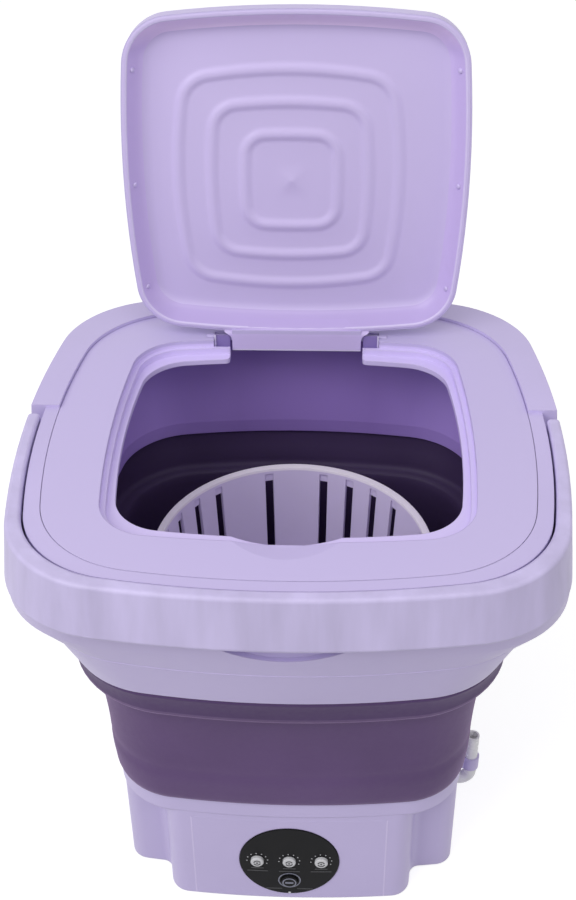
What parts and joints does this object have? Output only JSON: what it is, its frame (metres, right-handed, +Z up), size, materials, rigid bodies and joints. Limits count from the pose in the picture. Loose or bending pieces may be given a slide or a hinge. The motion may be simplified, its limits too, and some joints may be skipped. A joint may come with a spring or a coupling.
{
  "type": "foldable mini washing machine",
  "caption": "Portable tub washing machine with a folding soft wall, hinged lid, swing handle, lift-out slotted basket, geared pulsator drive, push-button panel and side drain hose.",
  "frame": {"origin": "on the floor under the middle of the machine", "axes": "+Z up, the control panel faces -Y, +X to the right seen from the front; the tub is unfolded, the lid open and the handle down"},
  "size_m": [0.324, 0.3138, 0.5058],
  "materials": {
    "lilac_shell": "fine satin moulded finish",
    "lid_inner": "satin",
    "tub_inner": "satin, darker purple",
    "soft_wall": "satin thermoplastic rubber",
    "black_lens": "gloss",
    "silver_button": "polished",
    "white_plastic": "satin",
    "nylon": "satin",
    "steel": "brushed",
    "motor_can": "zinc plated",
    "bearing_bronze": "sintered",
    "black_rubber": "matt",
    "circuit_board": "solder mask",
    "black_plastic": "matt",
    "clear_hose": "translucent"
  },
  "bodies": {
    "base": {"base_housing": "lilac_shell", "bottom_cover": "lilac_shell", "bottom_cover_screws": "steel", "rubber_feet": "black_rubber", "control_panel": "lilac_shell", "control_lens": "black_lens", "control_board": "circuit_board", "control_board_screws": "steel", "button_switches": "black_plastic", "tub_floor": "white_plastic", "drain_grate": "white_plastic", "gear_case": "nylon", "gear_case_screws": "steel", "drive_motor": "motor_can", "motor_screws": "steel", "upper_bush": "bearing_bronze", "lower_bush": "bearing_bronze", "shaft_seal": "black_rubber", "drain_pipe": "white_plastic", "drain_hose": "clear_hose", "hose_clip": "lilac_shell", "power_inlet": "black_plastic", "bellows": "soft_wall", "bellows_clamp_ring": "white_plastic", "clamp_ring_screws": "steel"},
    "rim": {"rim_frame": "lilac_shell", "inner_liner": "tub_inner", "top_cover": "lilac_shell", "lid_hinge_pins": "steel", "handle_pivot_pins": "steel"},
    "lid": {"lid_cover": "lilac_shell", "lid_liner": "lid_inner"},
    "handle": {"carry_handle": "lilac_shell"},
    "pulsator_group": {"pulsator": "white_plastic", "pulsator_screw": "steel", "drive_shaft": "steel", "driven_gear": "nylon"},
    "motor_rotor": {"motor_shaft": "steel", "motor_pinion": "steel"},
    "basket": {"spin_basket": "white_plastic"},
    "mode_left": {"mode_button_left": "silver_button"},
    "mode_middle": {"mode_button_middle": "silver_button"},
    "mode_right": {"mode_button_right": "silver_button"},
    "start": {"start_button": "silver_button"}
  },
  "joints": [
    {"name": "fold", "type": "slide", "parent": "base", "child": "rim", "axis": [0, 0, -1], "range_m": [0, 0.112], "deforming": ["bellows"]},
    {"name": "lid_hinge", "type": "hinge", "parent": "rim", "child": "lid", "pos_m": [0, 0.1036, 0.2969], "axis": [-1, 0, 0], "range_deg": [-93.9, 0]},
    {"name": "handle_swing", "type": "hinge", "parent": "rim", "child": "handle", "pos_m": [0, -0.00775, 0.28325], "axis": [-1, 0, 0], "range_deg": [0, 90]},
    {"name": "pulsator_spin", "type": "hinge", "parent": "base", "child": "pulsator_group", "pos_m": [0, 0, 0.1], "axis": [0, 0, 1], "continuous": true},
    {"name": "motor_spin", "type": "hinge", "parent": "base", "child": "motor_rotor", "pos_m": [0.032, 0, 0.06], "axis": [0, 0, 1], "continuous": true},
    {"name": "basket_lift", "type": "slide", "parent": "pulsator_group", "child": "basket", "axis": [0, 0, 1], "range_m": [0, 0.3]},
    {"name": "mode_left_press", "type": "slide", "parent": "base", "child": "mode_left", "axis": [0, 1, 0], "range_m": [0, 0.0012], "stiffness_N_per_m": 500, "springref_m": -0.0004},
    {"name": "mode_middle_press", "type": "slide", "parent": "base", "child": "mode_middle", "axis": [0, 1, 0], "range_m": [0, 0.0012], "stiffness_N_per_m": 500, "springref_m": -0.0004},
    {"name": "mode_right_press", "type": "slide", "parent": "base", "child": "mode_right", "axis": [0, 1, 0], "range_m": [0, 0.0012], "stiffness_N_per_m": 500, "springref_m": -0.0004},
    {"name": "start_press", "type": "slide", "parent": "base", "child": "start", "axis": [0, 1, 0], "range_m": [0, 0.0012], "stiffness_N_per_m": 500, "springref_m": -0.0004}
  ],
  "couplings": [
    {"joint": "motor_spin", "follows": "pulsator_spin", "ratio": -3}
  ]
}
